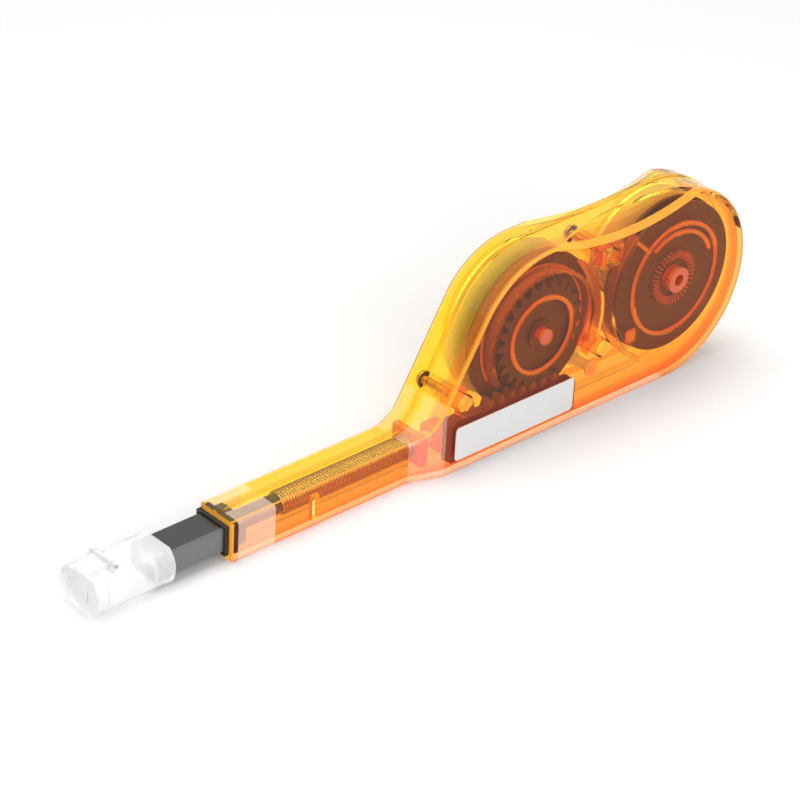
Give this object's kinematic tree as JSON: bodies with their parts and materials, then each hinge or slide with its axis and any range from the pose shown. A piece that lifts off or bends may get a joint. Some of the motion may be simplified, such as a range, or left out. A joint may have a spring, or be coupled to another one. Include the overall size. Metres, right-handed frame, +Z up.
{
  "type": "fibre connector cleaning pen",
  "caption": "Clear amber reel-type cleaner for multi-fibre connectors: a sprung black guide sleeve drives a cleaning tape from reel to reel, under a clear cap with a hinged lid.",
  "frame": {"origin": "middle of the bounding box in plan, at the underside", "axes": "+X from the nose to the reels, -Y out of the face with the label, +Z up"},
  "size_m": [0.2179, 0.0178, 0.0559],
  "materials": {
    "near_shell": "clear amber, injection moulded, polished",
    "far_shell": "clear amber, injection moulded, polished",
    "label_plate": "bare white label stock",
    "nose_bush": "fine moulded black",
    "guide_sleeve": "satin black",
    "tape_head": "natural white acetal",
    "rack_slider": "dark brown, satin",
    "rod_yoke": "dark brown, satin",
    "return_spring": "drawn spring wire",
    "spring_seat": "fine moulded black",
    "drive_gear": "dark red, satin",
    "take_up_reel": "dark red, satin",
    "supply_reel": "dark red, satin",
    "take_up_tape": "woven micro-fibre ribbon",
    "supply_tape": "woven micro-fibre ribbon",
    "take_up_axle": "red",
    "supply_axle": "red",
    "tape_guide_front": "natural white acetal",
    "tape_guide_rear": "natural white acetal",
    "screw_low": "zinc plated",
    "screw_mid": "zinc plated",
    "screw_top": "zinc plated",
    "cap_body": "clear, polished",
    "cap_lid": "clear, polished",
    "lid_pin": "steel wire"
  },
  "bodies": {
    "case": {"near_shell": "near_shell", "far_shell": "far_shell", "label_plate": "label_plate", "nose_bush": "nose_bush", "return_spring": "return_spring", "spring_seat": "spring_seat", "take_up_axle": "take_up_axle", "supply_axle": "supply_axle", "tape_guide_front": "tape_guide_front", "tape_guide_rear": "tape_guide_rear", "screw_low": "screw_low", "screw_mid": "screw_mid", "screw_top": "screw_top"},
    "slide": {"guide_sleeve": "guide_sleeve", "tape_head": "tape_head", "rack_slider": "rack_slider", "rod_yoke": "rod_yoke"},
    "gear": {"drive_gear": "drive_gear"},
    "take_up": {"take_up_reel": "take_up_reel", "take_up_tape": "take_up_tape"},
    "supply": {"supply_reel": "supply_reel", "supply_tape": "supply_tape"},
    "cap": {"cap_body": "cap_body", "lid_pin": "lid_pin"},
    "lid": {"cap_lid": "cap_lid"}
  },
  "joints": [
    {"name": "sleeve_slide", "type": "slide", "parent": "case", "child": "slide", "axis": [1, 0, 0], "range_m": [0, 0.012], "stiffness_N_per_m": 200, "springref_m": -0.008, "deforming": ["return_spring"]},
    {"name": "gear_spin", "type": "hinge", "parent": "case", "child": "gear", "pos_m": [0.0335, 0, 0.0291], "axis": [0, -1, 0], "range_deg": [0, 47.8]},
    {"name": "supply_spin", "type": "hinge", "parent": "case", "child": "supply", "pos_m": [0.083, 0, 0.0291], "axis": [0, -1, 0], "continuous": true},
    {"name": "take_up_spin", "type": "hinge", "parent": "case", "child": "take_up", "pos_m": [0.0335, 0, 0.0291], "axis": [0, -1, 0], "continuous": true},
    {"name": "cap_pull", "type": "slide", "parent": "slide", "child": "cap", "axis": [-1, 0, 0], "range_m": [0, 0.008]},
    {"name": "lid_hinge", "type": "hinge", "parent": "cap", "child": "lid", "pos_m": [-0.1014, 0.00165, 0.012], "axis": [0, 1, 0], "range_deg": [0, 110]}
  ],
  "couplings": [
    {"joint": "gear_spin", "follows": "sleeve_slide", "rad_per_m": 69.444},
    {"joint": "take_up_spin", "follows": "supply_spin", "ratio": 1.2609}
  ]
}
